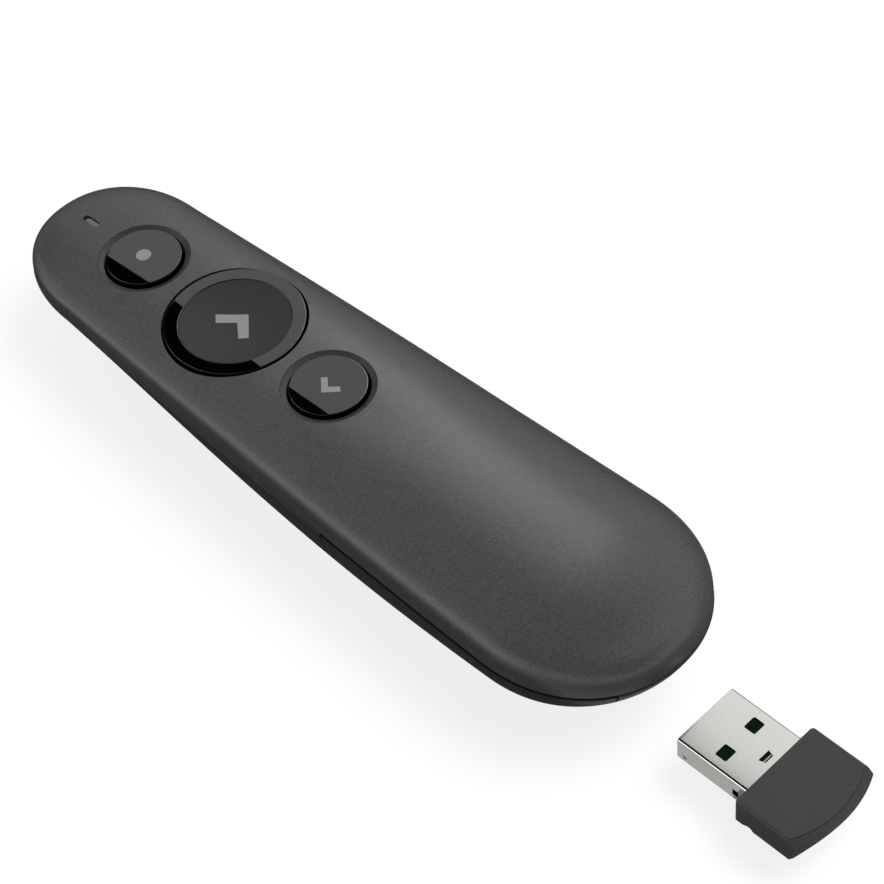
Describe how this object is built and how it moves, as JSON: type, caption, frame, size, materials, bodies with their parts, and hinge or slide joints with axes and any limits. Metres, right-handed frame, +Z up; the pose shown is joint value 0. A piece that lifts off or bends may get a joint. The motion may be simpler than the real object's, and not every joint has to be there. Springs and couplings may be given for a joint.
{
  "type": "wireless presentation clicker",
  "caption": "Slim waisted hand-held clicker with a flush row of round press buttons, a laser in its nose, cells under a sliding door and a USB receiver that docks in its tail.",
  "frame": {"origin": "on the rest plane, under the middle of the housing's length and width", "axes": "+Y towards the nose, +Z up through the button deck, +X to the right of a person who holds it"},
  "size_m": [0.0372, 0.1665, 0.0268],
  "materials": {
    "upper_shell": "fine matte texture, graphite",
    "lower_shell": "fine matte texture, darker graphite",
    "door": "fine matte texture, darker graphite",
    "light_pipe": "clear moulded acrylic",
    "led": "clear epoxy over a phosphor",
    "laser_window": "dark red clear window",
    "brass": "turned",
    "lens": "polished",
    "diode_can": "plated can",
    "board": "green solder mask",
    "switch_base": "moulded",
    "switch_stem": "moulded",
    "button_gloss": "high gloss black",
    "dish_satin": "satin, softly reflecting",
    "chip": "moulded package",
    "crystal_can": "plated can",
    "ceramic": "ceramic body",
    "cell_jacket": "plain coated jacket",
    "contact_plate": "nickel plated",
    "spring_wire": "nickel plated wire",
    "lead": "insulated wire",
    "screw_steel": "zinc plated",
    "receiver_plastic": "fine matte, graphite",
    "plug_steel": "bright folded steel",
    "receiver_board": "dark green solder mask",
    "gold_contact": "gold plated"
  },
  "bodies": {
    "housing": {"top_shell": "upper_shell", "bottom_shell": "lower_shell", "light_pipe": "light_pipe", "status_led": "led", "laser_window": "laser_window", "laser_barrel": "brass", "laser_lens": "lens", "laser_diode": "diode_can", "main_board": "board", "switch_bases": "switch_base", "radio_chip": "chip", "memory_chip": "chip", "crystal": "crystal_can", "capacitors": "ceramic", "battery_left": "cell_jacket", "battery_right": "cell_jacket", "bridge_contact": "contact_plate", "terminal_contacts": "contact_plate", "contact_springs": "spring_wire", "battery_leads": "lead", "board_screws": "screw_steel", "housing_screws": "screw_steel"},
    "laser_button": {"laser_button": "button_gloss", "laser_switch_stem": "switch_stem"},
    "next_button": {"next_button_ring": "button_gloss", "next_button_dish": "dish_satin", "next_switch_stem": "switch_stem"},
    "back_button": {"back_button": "button_gloss", "back_switch_stem": "switch_stem"},
    "battery_door": {"battery_door": "door"},
    "receiver": {"receiver_cap": "receiver_plastic", "receiver_sleeve": "plug_steel", "receiver_board": "receiver_board", "receiver_contacts": "gold_contact", "receiver_chip": "chip"}
  },
  "joints": [
    {"name": "laser_press", "type": "slide", "parent": "housing", "child": "laser_button", "axis": [0, -0.032, -0.9995], "range_m": [0, 0.0005], "stiffness_N_per_m": 1200, "springref_m": -0.0006},
    {"name": "next_press", "type": "slide", "parent": "housing", "child": "next_button", "axis": [0, -0.032, -0.9995], "range_m": [0, 0.0005], "stiffness_N_per_m": 1200, "springref_m": -0.0006},
    {"name": "back_press", "type": "slide", "parent": "housing", "child": "back_button", "axis": [0, -0.032, -0.9995], "range_m": [0, 0.0005], "stiffness_N_per_m": 1200, "springref_m": -0.0006},
    {"name": "door_slide", "type": "slide", "parent": "housing", "child": "battery_door", "axis": [0, -1, 0], "range_m": [0, 0.006]},
    {"name": "receiver_dock", "type": "slide", "parent": "housing", "child": "receiver", "axis": [0, 1, 0], "range_m": [0, 0.0342]}
  ]
}
